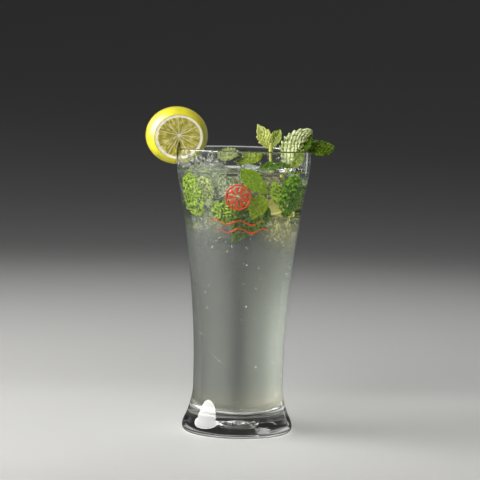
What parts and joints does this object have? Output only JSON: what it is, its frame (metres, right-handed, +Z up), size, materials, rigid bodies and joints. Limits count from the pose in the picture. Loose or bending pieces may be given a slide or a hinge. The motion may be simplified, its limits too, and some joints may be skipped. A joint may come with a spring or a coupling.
{
  "type": "mojito cocktail",
  "caption": "Cloudy mint and lime cocktail over ice in a flared, heavy-footed highball glass, with a thick lime slice on the lip and sprigs of fresh mint.",
  "frame": {"origin": "centre of the flat ring that the glass stands on", "axes": "+Z up along the glass's axis, -Y towards the viewer, the lime slice on the lip at -X and the large mint sprig at +X"},
  "size_m": [0.1177, 0.0834, 0.202],
  "materials": {
    "glass": "clear, polished",
    "drink": "cloudy pale grey-green liquid",
    "ice": "clear, wet",
    "lime": "waxy rind with moist pulp",
    "mint": "fresh crinkled leaf"
  },
  "bodies": {
    "root": {"glass": "glass", "drink": "drink", "lime_slice": "lime", "ice_left": "ice", "ice_back": "ice", "mint_sprig_young": "mint", "mint_sprig_crown": "mint", "mint_leaf_bright": "mint", "mint_leaf_dark": "mint", "mint_leaf_pale": "mint"}
  },
  "joints": []
}
